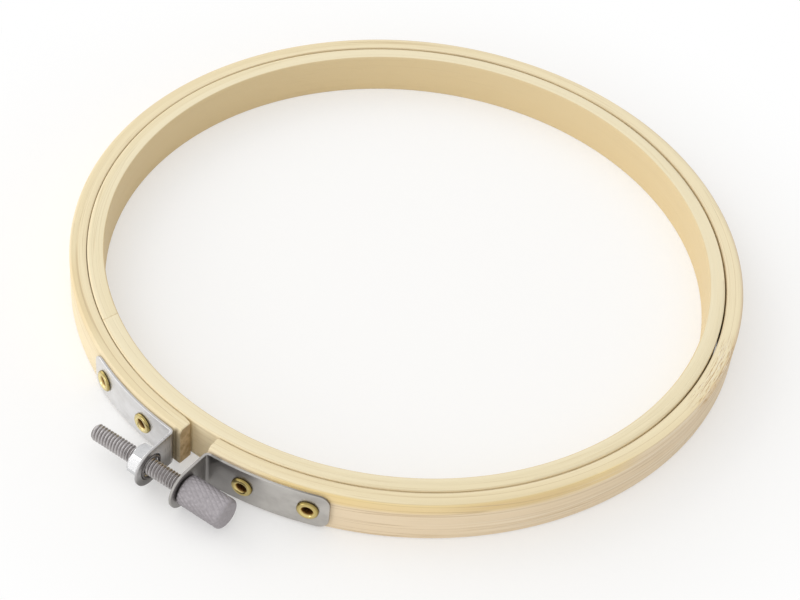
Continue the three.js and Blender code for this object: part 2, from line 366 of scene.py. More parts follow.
def bamboo(
    name, flesh, shadow, skin, inside, line, lined, seed,
    scraped=None, planed=(), growth_line=None, torn=None, scarf=None, bracket_shade_from=None,
):
    """Split bamboo: pale flesh, a warmer skin, soft bands, fine fibres and thin growth lines.

    The last six say where along the strip it is scraped, planed, lined, torn, glued and given painted
    shade by the bracket.
    """
    material, shade = new_material(name)
    place = shade.stored("grain")
    along, out, up = (place.part(axis) for axis in "XYZ")
    fibres = place.streaks(24, 0.3, seed, 3, 0.6)
    growth = place.streaks(150, 1.5, seed + 3, 1).near(0.5, 0.022) * out.rise(0.9, 1.5)
    bands = place.streaks(130, 3.0, seed + 7, 2)
    patches = place.streaks(30, 8, seed + 11, 2)
    colour = (bands.rise(0.4, 0.64) * 0.7).tint(flesh, shadow)
    skin_left = 0.85
    if scraped:
        skin_left = skin_left - along.rise(scraped, scraped + 60) * 0.6
    colour = (out.rise(3.3, 3.7) * skin_left).tint(colour, skin)
    colour = (out.rise(0.4, 0.1) * 0.85).tint(colour, inside)
    for start, end, depth, low, strength, tone in planed:
        ease = min((end - start) / 3, 14)
        stretch = along.rise(start, start + ease) * along.rise(end, end - ease)
        band = out.rise(depth, depth + 0.4) * up.rise(low, low + 1.2) * stretch
        colour = (band * (patches.rise(0.4, 0.65) * 0.3 + 0.7) * strength).tint(colour, tone)
    if torn:
        streaked = out.rise(3.5, 3.8) * along.rise(45, 90) * along.rise(330, 230)
        dark = place.streaks(60, 0.75, seed + 13, 3, 0.6).rise(0.46, 0.62)
        pale = place.streaks(45, 0.45, seed + 23, 3, 0.6).rise(0.52, 0.64)
        colour = (streaked * dark * 0.34).tint(colour, line)
        colour = (streaked * pale * 0.5).tint(colour, streak_pale)
    if growth_line:
        start, end, depth = growth_line
        line_here = along.rise(start, start + 8) * along.rise(end, end - 4) * up.rise(9.6, 10.2)
        thread_of_line = place.streaks(30, 3, seed + 29, 2) * 0.8 + out
        colour = (line_here * thread_of_line.near(depth + 0.4, 0.13) * 0.5).tint(colour, line)
    colour = (growth * (patches.rise(0.58, 0.4) * 0.45 + 0.06) * lined).tint(colour, line)
    colour = (fibres.rise(0.54, 0.7) * (patches.rise(0.4, 0.6) * 0.25 + 0.08) * lined).tint(colour, line)
    relief = fibres - growth * 0.8
    if torn:
        here = along.rise(torn[0], torn[0] + 8) * along.rise(torn[1], torn[1] - 8)
        rough = here * out.rise(0.5, 1.3) * up.rise(6.5, 9.0)
        tears = rough * place.streaks(4.5, 0.26, seed + 17, 3, 0.65).rise(0.52, 0.6)
        hairs = rough * place.streaks(3.5, 0.2, seed + 31, 2, 0.6).rise(0.58, 0.66)
        colour = (tears * 0.75).tint(colour, tear_shadow)
        colour = (hairs * 0.8).tint(colour, tear_hair)
        relief = relief - tears * 1.2 + hairs * 0.6
    if bracket_shade_from:
        # Painted shade beside the left bracket: a band on the wood by the strap's edge, deepest in the
        # corner by the lug.
        by_strap = out.rise(3.5, 3.95) * along.rise(bracket_shade_from - 12, bracket_shade_from) * 0.5
        past_lug = along.rise(bracket_shade_from - 0.2, bracket_shade_from + 1) * 0.62
        by_lug = along.rise(bracket_shade_from - 1.2, bracket_shade_from) * (0.87 - past_lug) * out.rise(3.2, 3.9)
        colour = along.maths("MAXIMUM", by_strap, by_lug).tint(colour, bracket_shade)
    if scarf:
        nearest = along.maths("MINIMUM", along, scarf - along)
        glue = nearest.rise(0.3, 0.06) * place.streaks(2, 1.2, seed + 19, 1).rise(0.3, 0.5)
        colour = (glue * 0.5).tint(colour, line)
        relief = relief - glue
    surface(
        shade,
        base_color=colour,
        roughness=fibres * 0.2 + 0.48,
        specular_ior_level=0.35,
        normal=relief.bump(0.3, 0.0003),
    )
    return material


def end_grain(name, pale, dark):
    """Bamboo cut across: a tan face with the dots of its fibre bundles, and painted shade near its top.
    """
    material, shade = new_material(name)
    place = shade.stored("grain")
    dots = place.node("ShaderNodeTexVoronoi", {}, {"Vector": place, "Scale": 2.4}, "Distance")
    cloud = place.node("ShaderNodeTexNoise", {}, {"Vector": place, "Scale": 0.7, "Detail": 3.0})
    colour = cloud.rise(0.35, 0.7).tint(pale, dark)
    colour = (dots.rise(0.32, 0.12) * 0.6).tint(colour, dark)
    # Painted shade: the end face is coloured darker towards its top.
    colour = (place.part("Z").rise(7, 9.8) * 0.6).tint(colour, dark)
    surface(shade, base_color=colour, roughness=cloud * 0.2 + 0.6, normal=dots.bump(0.3, 0.0002))
    return material


def outer_ring_mesh():
    """The bent strip from its right end round the back to its left end, in millimetres."""
    first, last = half_split - math.pi / 2, 1.5 * math.pi - half_split
    ease_turn = end_ease / outer_ring_outside
    between = np.linspace(first + ease_turn, last - ease_turn, ring_steps)
    angles = np.concatenate([[first], between, [last]])
    arc = angles * outer_ring_outside
    wide = 1 + planed_widening * np.clip(np.cos(angles - planed_wide_turn), 0, 1) ** 3
    top = [wander(arc, *strokes) * wide for strokes in outside_rounds["top"]]
    low = [wander(arc, *strokes) for strokes in outside_rounds["low"]]
    walls = outer_ring_inside, outer_ring_outside
    sections = strip_sections(*walls, top, low, inside_round)
    sections = uneven(sections, arc, *walls, dip=outer_ring_dip, hollow=outer_ring_dip, seed=8)
    to_left_end = (last - angles) * outer_ring_outside
    taper = left_end_taper * np.clip(1 - to_left_end / left_end_taper_length, 0, 1)[:, None] ** 1.5
    inwards = (outer_ring_outside - sections[..., 0]) / (outer_ring_outside - outer_ring_inside)
    sections[..., 0] += taper * inwards * (0.35 + 0.65 * sections[..., 1] / ring_height)
    for end in (0, -1):
        middle = sections[end].mean(0)
        shrink = 1 - 2 * end_ease / np.ptp(sections[end], axis=0)
        sections[end] = middle + (sections[end] - middle) * shrink
    return welded([lofted(round_the_centre(sections, angles), caps=True)])


def spoke(arc):
    """The angle at which an arc length from the middle of the split meets the outer face."""
    return arc / outer_ring_outside - math.pi / 2


outer_ring = make_piece("outer_bamboo_ring", outer_ring_mesh())
rivet_drills = (
    (rivet_hole_radius, outer_ring_outside + drill_overrun),
    (rivet_pocket_radius, rivet_pocket_floor),
)
drills = []
for arc in (*rivet_arcs["left"], *rivet_arcs["right"]):
    outwards = (math.cos(spoke(arc)), math.sin(spoke(arc)), 0)
    for radius, end in rivet_drills:
        drills.append(rod((0, 0, mid_height), outwards, radius, outer_ring_inside - drill_overrun, end))
drilled(outer_ring, drills)
lay_grain(outer_ring, outer_ring_inside, outer_ring_outside, -math.pi / 2)
outer_ring.data.materials.append(
    bamboo(
        "planed_bamboo",
        flesh=(0.905, 0.79, 0.54, 1),
        shadow=(0.84, 0.71, 0.45, 1),
        skin=(0.86, 0.7, 0.5, 1),
        inside=(0.7, 0.58, 0.38, 1),
        line=(0.53, 0.37, 0.19, 1),
        lined=1.0,
        seed=2.0,
        scraped=360,
        planed=(  # for each band: its start, end, depth and lowest height, its strength and its tone
            (11, 108, 2.9, 7.8, 0.9, (0.88, 0.66, 0.28, 1)),
            (54, 96, 3.1, 8.5, 0.5, (0.66, 0.46, 0.21, 1)),
            (436, 472, 2.2, 9.2, 0.7, (0.8, 0.62, 0.34, 1)),
            (122, 156, 3.0, 8.6, 0.55, (0.86, 0.62, 0.32, 1)),
        ),
        growth_line=(452, 499, 1.95),
        torn=(122, 153),
        # painted shade beside the left bracket, deepest at the lug's face
        bracket_shade_from=500.9,
    )
)
outer_ring.data.materials.append(
    end_grain("cut_bamboo", pale=(0.68, 0.53, 0.32, 1), dark=(0.46, 0.33, 0.18, 1))
)
for face in outer_ring.data.polygons:
    place = face.center - ring_centre
    by_split = place.y < 0 and abs(place.x) < (split_width / 2 + 0.2) * millimetre
    if by_split and abs(face.normal.x) > 0.9:
        face.material_index = 1
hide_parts("outer_ring")
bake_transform(outer_ring)

# The two brackets: strap steel blanked with round ends, punched, and bent to a lug at the split. The
# plate is satin zinc, with fine rolling lines along the strap and draw marks beside the bend.
strap_thickness = 0.65
strap_width = 9.7
strap_length = 29.3  # from the lug's face along the wood
strap_corner = 2.6
strap_edge = 0.13  # round of the deburred edges
bend_radius = 0.7
strap_inside = outer_ring_outside + 0.1
strap_middle = strap_inside + strap_thickness / 2
screw_radius = 88.25  # distance of the screw's axis from the rings' centre
lug_round = strap_width / 2
lug_faces = {"left": 5.05, "right": 3.8}
lug_hole_radii = {"left": 3.2, "right": 2.3}
rim_steps = 3
lug_points = 40  # round a lug's end
strap_corner_points = 10
hole_points = 49
bend_scores = 13
draw_lines = ((2.1, 0.2), (2.7, 0.14), (3.5, 0.18))  # place past the start of the bend, and width
# One zinc for both straps, its colours painted darker on the right as painted shade; the last two values
# set each strap's painted shade.
zinc_lit_and_shaded = {
    "left": {
        "bright": (0.82, 0.815, 0.82, 1), "dull": (0.7, 0.69, 0.685, 1), "painted_shade": 0.0, "lug_shade": 0.55,
    },
    "right": {
        "bright": (0.57, 0.55, 0.52, 1), "dull": (0.46, 0.44, 0.415, 1), "painted_shade": 0.6, "lug_shade": 0.1,
    },
}
# Painted shade on the strap towards the bend.
bend_shade_grey = (0.25, 0.24, 0.235, 1)
# Painted shade on the lug, and the real grey of the draw marks.
shade_and_draw_mark_grey = (0.2, 0.19, 0.18, 1)
# Painted dark reflection in the bend's corner.
bend_corner_shade = (0.17, 0.165, 0.155, 1)
sheared_grey = (0.36, 0.35, 0.35, 1)
# Painted shadow on the cut edge at the strap's far end.
far_edge_shadow = (0.13, 0.11, 0.08, 1)


def arc_points(centre, radius, start, end, count):
    """Points on an arc, its angles in degrees."""
    turn = np.radians(np.linspace(start, end, count))
    return np.stack([centre[0] + radius * np.cos(turn), centre[1] + radius * np.sin(turn)], -1)


def strap_outline(length, inset):
    """The blank's outline, drawn in from its edge by an inset: the lug's round and two far corners."""
    half = strap_width / 2
    small, large = strap_corner - inset, lug_round - inset
    return np.concatenate(
        [
            arc_points((length - lug_round, 0), large, -90, 90, lug_points),
            arc_points((strap_corner, half - strap_corner), small, 90, 180, strap_corner_points),
            arc_points((strap_corner, strap_corner - half), small, 180, 270, strap_corner_points),
        ]
    )


def plate(loops, thickness, edge):
    """A plate with rounded edges along loops, each a function of how far it is drawn in."""
    quarter = np.linspace(0, math.pi / 2, rim_steps + 1)
    half = thickness / 2 - edge
    rows = [(edge - edge * math.sin(t), -half - edge * math.cos(t)) for t in quarter]
    rows += [(inset, -height) for inset, height in reversed(rows)]
    patches = []
    for loop in loops:
        rings = [[(*point, height) for point in loop(inset)] for inset, height in rows]
        patches.append(lofted(np.array(rings)))
    flat = [loop(edge) for loop in loops]
    starts = np.cumsum([0] + [len(loop) for loop in flat])
    outlines = [list(range(start, start + len(loop))) for start, loop in zip(starts, flat)]
    found = delaunay_2d_cdt([Vector(p) for p in np.concatenate(flat)], [], outlines, 2, 1e-6)
    for height in (-thickness / 2, thickness / 2):
        patches.append(([(p.x, p.y, height) for p in found[0]], found[2]))
    return patches


def score(built, place, across):
    """Divides a mesh's faces along a plane through a place, given the direction across it."""
    whole = built.verts[:] + built.edges[:] + built.faces[:]
    bmesh.ops.bisect_plane(built, geom=whole, dist=1e-5, plane_co=place, plane_no=across)


def bracket(name, hand):
    """One bracket: a flat blank scored across where it curves, then bent to its plan."""
    lug_face = lug_faces[name]
    far_turn = (lug_face + strap_length) / outer_ring_outside - math.pi / 2
    bend_x = lug_face + strap_thickness + bend_radius
    bend_reach = strap_inside + strap_thickness + bend_radius
    bend_turn = -math.acos(bend_x / bend_reach)
    bend_y = bend_reach * math.sin(bend_turn)
    bend_middle = bend_radius + strap_thickness / 2
    on_wood = (far_turn - bend_turn) * strap_middle
    in_bend = -bend_turn * bend_middle
    length = on_wood + in_bend + screw_radius + lug_round + bend_y
    rivet_places = [(far_turn - spoke(abs(arc))) * strap_middle for arc in rivet_arcs[name]]
    holes = [(place, rivet_hole_radius) for place in rivet_places]
    holes.append((length - lug_round, lug_hole_radii[name]))
    loops = [lambda inset: strap_outline(length, inset)]
    for place, radius in holes:
        loops.append(
            lambda inset, p=place, r=radius: arc_points((p, 0), r + inset, 360, 0, hole_points)[:-1]
        )
    built = welded(plate(loops, strap_thickness, strap_edge))
    round_bend = np.linspace(on_wood, on_wood + in_bend, bend_scores)
    for place in (*np.arange(1, on_wood, 1), *round_bend, on_wood + in_bend + 2):
        score(built, (place, 0, 0), (1, 0, 0))
    sheet = built.verts.layers.float_vector.new("sheet")
    for vertex in built.verts:
        vertex[sheet] = vertex.co
        reach, across, depth = vertex.co
        if reach < on_wood:
            turn, radius = far_turn - reach / strap_middle, strap_middle + depth
            x, y = radius * math.cos(turn), radius * math.sin(turn)
        else:
            turn = bend_turn + math.pi + min(reach - on_wood, in_bend) / bend_middle
            radius = bend_middle - depth
            x = bend_x + radius * math.cos(turn)
            y = bend_y + radius * math.sin(turn) - max(0, reach - on_wood - in_bend)
        vertex.co = hand * x, y, mid_height + across
    bmesh.ops.recalc_face_normals(built, faces=built.faces)
    return make_piece(f"{name}_steel_bracket", built), on_wood


def satin_zinc(name, bright, dull, painted_shade, lug_shade, bend_place, seed):
    """Zinc-plated strap: clouded grey with rolling lines, darker at its cut edges, painted shade by the
    bend.
    """
    material, shade = new_material(name)
    place = shade.stored("sheet")
    along, across, depth = (place.part(axis) for axis in "XYZ")
    cut_edge = depth.near(0, strap_thickness / 2 - 0.01).rise(0, 0.5)
    rolled = place.streaks(9, 0.16, seed, 3, 0.6)
    cloud = place.streaks(5, 3.2, seed + 5, 4, 0.55)
    scuffs = place.streaks(1.6, 0.35, seed + 9, 4, 0.7)
    draw_marks = sum(along.near(bend_place + past, width) for past, width in draw_lines)
    draw_marks = draw_marks * place.streaks(6, 2.5, seed + 13, 2).rise(0.35, 0.55)
    colour = cloud.rise(0.3, 0.75).tint(bright, dull)
    # Painted shade: the strap darkens towards the bend, where the lug and screw block its reflection.
    towards_bend = along.rise(bend_place - 15, bend_place - 3) * (1 - cut_edge * 0.8)
    colour = (towards_bend * painted_shade).tint(colour, bend_shade_grey)
    # Painted dark reflection of the lug and screw in the inner corner of the bend.
    bend_corner = (along + across).rise(bend_place + 1.6, bend_place + 2.4)
    bend_corner = bend_corner * along.rise(bend_place, bend_place - 0.4)
    colour = (bend_corner * painted_shade * 1.3).tint(colour, bend_corner_shade)
    # Painted shade on the lug's face towards the gap, deepest near its lower edge.
    gap_side = depth.rise(0.05, -0.25) * along.rise(bend_place + 0.6, bend_place + 2.0)
    lug_shade_mask = gap_side * (across.rise(1.0, -2.5) * 0.8 + 1) * lug_shade
    colour = lug_shade_mask.tint(colour, shade_and_draw_mark_grey)
    # The draw marks are real marks, in the same grey.
    colour = (draw_marks * 0.6).tint(colour, shade_and_draw_mark_grey)
    colour = (cut_edge * (0.6 - painted_shade * 0.5)).tint(colour, sheared_grey)
    # Painted shadow along the cut edge towards the strap's far end.
    colour = (cut_edge * along.rise(14, 2) * painted_shade * 1.2).tint(colour, far_edge_shadow)
    roughness = cloud * 0.14 + rolled * 0.1 + scuffs.rise(0.58, 0.75) * 0.1 + cut_edge * 0.2 + 0.24
    relief = rolled * 0.6 + cloud * 0.8 - scuffs.rise(0.64, 0.72) * 0.6 - draw_marks
    normal = relief.bump(0.16, 0.00012)
    surface(shade, base_color=colour, metallic=1.0, roughness=roughness, normal=normal)
    return material


def dress(piece, material, node, body):
    """Gives a piece its material and slot, and puts it in the place of a node on its body."""
    piece.data.materials.append(material)
    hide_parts(node)
    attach(piece, body)


ring_bodies = {"left": "outer_band", "right": "right_end"}
for name, hand, seed in (("left", -1, 3.0), ("right", 1, 4.0)):
    piece, bend_place = bracket(name, hand)
    zinc = satin_zinc(f"{name}_satin_zinc", bend_place=bend_place, seed=seed, **zinc_lit_and_shaded[name])
    dress(piece, zinc, f"{name}_bracket", ring_bodies[name])

# The four hollow rivets: brass eyelets, their flanges rolled over on the straps, and their far ends
# spread in the pockets inside the ring. The roll is bright, and the hole has dulled brown.
rivet_bore = 1.12
rivet_barrel = 1.45
rivet_flange = 2.5
rivet_crest = 1.8
rivet_seat = strap_inside + strap_thickness + 0.1
rivet_roll = 0.68
rivet_funnel = 0.35  # how far below the strap's face the roll has run into the bore
rivet_end = outer_ring_inside + 0.4
rivet_spread = 2.08
rivet_spread_thickness = 0.38
rivet_columns = 64
rivet_out_of_round = 0.008  # as a share of its radius
# One brass for all four rivets, painted brighter on the left pair as painted light and duller on the
# right as painted shade.
brass_lit_and_shaded = {
    "left": {
        "bright": (0.92, 0.79, 0.4, 1), "olive": (0.33, 0.25, 0.08, 1), "brown": (0.42, 0.25, 0.09, 1),
    },
    "right": {
        "bright": (0.7, 0.57, 0.24, 1), "olive": (0.27, 0.2, 0.06, 1), "brown": (0.34, 0.18, 0.06, 1),
    },
}


def rivet_loops(long_way):
    """Loops of points round the rivet's wall, a touch out of round, with its long way at an angle."""
    turn = np.linspace(0, 2 * math.pi, rivet_columns, endpoint=False)
    unevenness = 1 + rivet_out_of_round * np.sin(2 * turn + long_way)
    return np.array([around(radius * unevenness, turn, height) for radius, height in rivet_profile()])


def on_spoke(points, turn):
    """Lays points round Z on a spoke of the hoop at mid height, +Z pointing outwards."""
    outwards = np.array([math.cos(turn), math.sin(turn), 0])
    sideways = np.array([-math.sin(turn), math.cos(turn), 0])
    upwards = np.array([0, 0, 1])
    placed = points[..., :1] * sideways + points[..., 1:2] * upwards + points[..., 2:] * outwards
    return placed + np.array([0, 0, mid_height])


def rivet_profile():
    """The rivet's wall, as (radius, height): under the flange, over the roll, down and round the end."""
    outer, inner = rivet_flange - rivet_crest, rivet_crest - rivet_bore
    roll = []
    for t in np.linspace(0, math.pi, 25):
        across = outer if t < math.pi / 2 else inner
        drop = rivet_roll - 0.08 if t < math.pi / 2 else rivet_roll + rivet_funnel
        height = rivet_roll - drop * (1 - math.sin(t))
        roll.append((rivet_crest + across * math.cos(t), rivet_seat + height))
    spread_top = rivet_end + rivet_spread_thickness
    return [
        (rivet_barrel, rivet_seat - 0.08),
        (rivet_flange - 0.12, rivet_seat),
        *roll,
        (rivet_bore, spread_top + 0.3),
        (rivet_bore + 0.12, rivet_end + 0.1),
        (rivet_bore + 0.35, rivet_end),
        (rivet_spread - 0.1, rivet_end + 0.06),
        (rivet_spread, rivet_end + 0.18),
        (rivet_spread - 0.12, spread_top - 0.06),
        (rivet_barrel + 0.1, spread_top),
        (rivet_barrel, spread_top + 0.2),
    ]


def rolled_brass(name, bright, olive, brown, seed):
    """Yellow brass: clear on the crest, olive towards the rim, brown with age down the hole."""
    material, shade = new_material(name)
    place = shade.stored("roll")
    reach, height = place.part("X"), place.part("Z")
    cloud = place.streaks(0.7, 0.7, seed, 3)
    hole = reach.rise(rivet_crest - 0.2, rivet_crest - 0.5) * height.rise(0.55, 0.0)
    rim = reach.rise(rivet_crest + 0.2, rivet_flange - 0.05)
    colour = (cloud.rise(0.4, 0.75) * 0.4).tint(bright, olive)
    colour = (rim * 0.9).tint(colour, olive)
    colour = hole.tint(colour, brown)
    roughness = cloud * 0.14 + hole * 0.25 + 0.21
    normal = cloud.bump(0.2, 0.0001)
    surface(shade, base_color=colour, metallic=1.0, roughness=roughness, normal=normal)
    return material


for name in ("left", "right"):
    eyelet_brass = rolled_brass(f"{name}_eyelet_brass", seed=4.0, **brass_lit_and_shaded[name])
    for place, arc, long_way in zip(("near", "far"), rivet_arcs[name], (0.3, 2.4)):
        built = welded([lofted(rivet_loops(long_way), closed=True)])
        roll = built.verts.layers.float_vector.new("roll")
        for vertex in built.verts:
            vertex[roll] = math.hypot(vertex.co.x, vertex.co.y), 0, vertex.co.z - rivet_seat
            vertex.co = on_spoke(np.array(vertex.co), spoke(arc))
        bmesh.ops.recalc_face_normals(built, faces=built.faces)
        piece = make_piece(f"{name}_{place}_eyelet", built)
        dress(piece, eyelet_brass, f"{name}_rivet_{place}", ring_bodies[name])

# The nut: bright nickelled steel, six flats with the corners eased on its outer face, and a round
# boss that is clinched in the left lug's hole, so that it can't turn.
nut_half_flats = 3.5
nut_face = -5.8  # against the lug
nut_outer = -9.0
nut_ease = 0.62
nut_edge = 0.09
nut_corner_wear = 0.06
boss_radius = 3.02
boss_end = -4.8
nut_bore = 2.36
nut_mouth = 0.45  # how much wider the bore is at its chamfered mouth
nut_thread_depth = 0.3
thread_pitch = 0.794
nut_columns = 96


def on_screw(points):
    """Lays points round Z on the screw's axis, +Z pointing to the knurled head."""
    return np.stack([points[..., 2], points[..., 0] - screw_radius, points[..., 1] + mid_height], -1)


def nut_loops():
    """Loops of points round the nut: the mouth, eased corners, flats, boss, and back by the thread."""
    turn = np.linspace(0, 2 * math.pi, nut_columns, endpoint=False)
    flats = nut_half_flats / np.cos(turn % (math.pi / 3) - math.pi / 6)
    flats = np.minimum(flats, nut_half_flats / math.cos(math.pi / 6) - nut_corner_wear)
    loops = [(nut_bore + nut_mouth, nut_outer), (nut_half_flats - 0.12, nut_outer)]
    for share in np.linspace(0, 1, 7):
        eased = nut_half_flats - 0.04 + nut_ease * share
        loops.append((np.minimum(flats, eased), nut_outer + nut_ease * share))
    loops += [(flats, place) for place in np.linspace(nut_outer + nut_ease, nut_face - nut_edge, 6)[1:]]
    loops += [
        (flats - nut_edge, nut_face),
        (boss_radius, nut_face),
        (boss_radius, boss_end - 0.3),
        (boss_radius - 0.12, boss_end - 0.06),
        (boss_radius - 0.2, boss_end),
        (nut_bore + nut_thread_depth + 0.06, boss_end),
        (nut_bore + nut_thread_depth, boss_end - 0.05),
    ]
    for place in np.arange(boss_end - 0.45, nut_outer + 0.4, -thread_pitch / 8):
        phase = (place / thread_pitch - turn / (2 * math.pi)) % 1
        loops.append((nut_bore + nut_thread_depth * (1 - np.abs(2 * phase - 1)), place))
    return np.array([around(radius, turn, place) for radius, place in loops])


def metal(name, bright, dull, roughness, grain_size, relief_strength, seed, hollows=None):
    """Plated steel with a fine cloud in its colour, gloss and surface, and painted shade in its hollows.
    """
    material, shade = new_material(name)
    spot = shade.node("ShaderNodeTexCoord", output="Object")
    moved = spot.node("ShaderNodeVectorMath", {"operation": "ADD"}, {0: spot, 1: (seed, 0, 0)})
    inputs = {"Vector": moved, "Scale": 1000 / grain_size, "Detail": 4.0, "Roughness": 0.6}
    cloud = spot.node("ShaderNodeTexNoise", {}, inputs)
    colour = cloud.rise(0.35, 0.7).tint(bright, dull)
    # Painted shade in the hollows of the thread and knurl.
    if hollows:
        colour = shade.stored("relief", "Fac").rise(0.3, 1).tint(colour, hollows)
    normal = cloud.bump(relief_strength, 0.0001)
    surface(shade, base_color=colour, metallic=1.0, roughness=cloud * 0.16 + roughness, normal=normal)
    return material


nut = make_piece("clamp_hex_nut", welded([lofted(on_screw(nut_loops()), closed=True)]), crease=25)
bright_nickel = metal(
    "bright_nickel",
    bright=(0.66, 0.66, 0.665, 1),
    dull=(0.56, 0.56, 0.565, 1),
    roughness=0.06,
    grain_size=3.0,
    relief_strength=0.03,
    seed=0.1,
)
clinched_nickel = metal(
    "clinched_nickel",
    bright=(0.22, 0.205, 0.2, 1),
    dull=(0.12, 0.11, 0.105, 1),
    roughness=0.35,
    grain_size=0.5,
    relief_strength=0.2,
    seed=0.2,
)
dress(nut, bright_nickel, "clamp_nut", "outer_band")
nut.data.materials.append(clinched_nickel)
for face in nut.data.polygons:
    if face.center.x > (boss_end - 0.5) * millimetre:
        face.material_index = 1

# The thumb screw: one bar of grey plated steel with a cut thread, chamfered at its tip, and a head
# rolled with a diamond knurl that its two chamfers cut off.
thread_radius = 1.99
thread_depth = 0.36
thread_samples = 10
shank_columns = 48
shank_neck = 1.52
head_under = 4.55
head_length = 11.4
head_radius = 3.6
tip_place = head_under - 25.5
tip_radius = 1.45
knurl_starts = 20
knurl_samples = 12
knurl_depth = 0.13
knurl_second = 0.85  # how deep the second family of grooves is, as a share of the first
knurl_rise = 1.5  # above 1 it leaves a small flat on each crest
knurl_angle = math.radians(31)
head_round = 0.85
neck_length = 0.45
neck_slope = 1.2


def shank_patch():
    """The threaded shank, its rows of points running along the thread."""
    turns = math.ceil((head_under - tip_place) / thread_pitch) + 2
    rows = turns * thread_samples
    column = np.arange(shank_columns)
    row = np.arange(rows)[:, None]
    place = tip_place + thread_pitch * (row / thread_samples + column / shank_columns - 1)
    place = np.clip(place, tip_place, head_under)
    share = (row % thread_samples) / thread_samples
    thread = thread_radius - thread_depth * (0.5 + 0.5 * np.cos(2 * math.pi * share))
    chamfer = tip_radius + (place - tip_place)
    neck = shank_neck + np.maximum(0, head_under - neck_length - place) * neck_slope
    radius = np.minimum(np.minimum(thread, chamfer), neck)
    points = around(radius, 2 * math.pi * column / shank_columns, place)
    faces = []
    for i in range(rows - 1 - thread_samples):
        for j in range(shank_columns):
            ahead, lead = (j + 1, 0) if j + 1 < shank_columns else (0, thread_samples)
            here, there = i * shank_columns + j, (i + lead) * shank_columns + ahead
            faces.append((here, there, there + shank_columns, here + shank_columns))
    return on_screw(points).reshape(-1, 3), faces


def head_loops():
    """Loops of points round the head, lowered along the knurl's two families of grooves."""
    columns = knurl_starts * knurl_samples
    turn = np.linspace(0, 2 * math.pi, columns, endpoint=False)
    groove_pitch = 2 * math.pi * head_radius / knurl_starts / math.tan(knurl_angle)
    rows = int(head_length / groove_pitch * knurl_samples)
    places = np.linspace(0, head_length, rows + 1)[:, None]
    one = (turn * knurl_starts / (2 * math.pi) - places / groove_pitch) % 1
    other = (turn * knurl_starts / (2 * math.pi) + places / groove_pitch) % 1
    first, second = 1 - np.abs(2 * one - 1), 1 - np.abs(2 * other - 1)
    height = np.minimum(first, 1 - knurl_second + knurl_second * second)
    knurled = head_radius - knurl_depth * (1 - np.clip(height * knurl_rise, 0, 1))
    from_end = np.clip(1 - np.minimum(places, head_length - places) / head_round, 0, 1)
    rounded = head_radius - head_round * (1 - np.sqrt(1 - 0.96 * from_end**2))
    return around(np.minimum(knurled, rounded), turn, head_under + places)


def thumb_screw():
    """Shank, tip, knurled head and both of the head's flat ends, welded into one."""
    head = head_loops()
    columns = head.shape[1]
    each = columns // shank_columns
    circle = np.linspace(0, 2 * math.pi, shank_columns, endpoint=False)
    tip = around(tip_radius, circle, tip_place)
    neck = around(shank_neck, circle, head_under)
    under = [
        (
            j,
            (j + 1) % shank_columns,
            *(shank_columns + (each * (j + 1) - k) % columns for k in range(each + 1)),
        )
        for j in range(shank_columns)
    ]
    end_rings = [head[-1] * np.array([scale, scale, 1]) for scale in (1, 0.96, 0.5)]
    end_rings[1][:, 2] = end_rings[2][:, 2] = head_under + head_length
    patches = [
        shank_patch(),
        (on_screw(tip), [tuple(range(shank_columns))]),
        (on_screw(np.concatenate([neck, head[0]])), under),
        lofted(on_screw(head)),
        lofted(on_screw(np.array(end_rings))),
        (on_screw(end_rings[-1]), [tuple(range(columns))]),
    ]
    built = welded(patches)
    relief = built.verts.layers.float.new("relief")
    for vertex in built.verts:
        reach = math.hypot(vertex.co.y + screw_radius, vertex.co.z - mid_height)
        on_head = vertex.co.x > head_under + head_round / 2
        crest, depth = (head_radius, knurl_depth) if on_head else (thread_radius, thread_depth)
        on_end = vertex.co.x > head_under + head_length - head_round / 2
        vertex[relief] = 0 if on_end else min(1, max(0, (crest - reach) / depth))
    return make_piece("knurled_thumb_screw", built, crease=22)


screw = thumb_screw()
cut_steel = metal(
    "cut_thread_steel",
    bright=(0.55, 0.528, 0.528, 1),
    dull=(0.455, 0.433, 0.433, 1),
    roughness=0.24,
    grain_size=0.6,
    relief_strength=0.12,
    seed=0.3,
    # painted shade in the thread's roots
    hollows=(0.3, 0.277, 0.272, 1),
)
knurled_steel = metal(
    "knurled_steel",
    bright=(0.425, 0.398, 0.414, 1),
    dull=(0.36, 0.337, 0.351, 1),
    roughness=0.5,
    grain_size=0.7,
    relief_strength=0.3,
    seed=0.4,
    hollows=(0.375, 0.351, 0.364, 1),
)
dress(screw, cut_steel, "thumb_screw", "screw")
screw.data.materials.append(knurled_steel)
for face in screw.data.polygons:
    if face.center.x > head_under * millimetre:
        face.material_index = 1

# The inner ring: a paler bamboo strip bent to a closed ring, its ends glued in a short scarf. It is
# sanded all over, so its edges are only lightly broken, and it lies loose in the outer ring.
inner_ring_inside = 72.4
inner_ring_outside = 76.0
sanded_round = 0.3
sanded_rounds = ((30, 0.15, 0.4, 21), (36, 0.15, 0.4, 22))  # of the outside edges, as above
inner_ring_dip = 0.1
inner_ring_hollow = 0.08
scarf_turn = math.radians(-121.2)
scarf_slant = 0.27  # how far the joint runs along the ring for each millimetre across it
fuller = 0.07  # the strip is this much thicker all round, which leaves a narrow seam
thick_side = 0.29  # and this much more on the side where the rings lie closest
thick_side_turn = math.radians(205)
thick_side_spread = 1.25  # above 1 it keeps its full thickness for some way


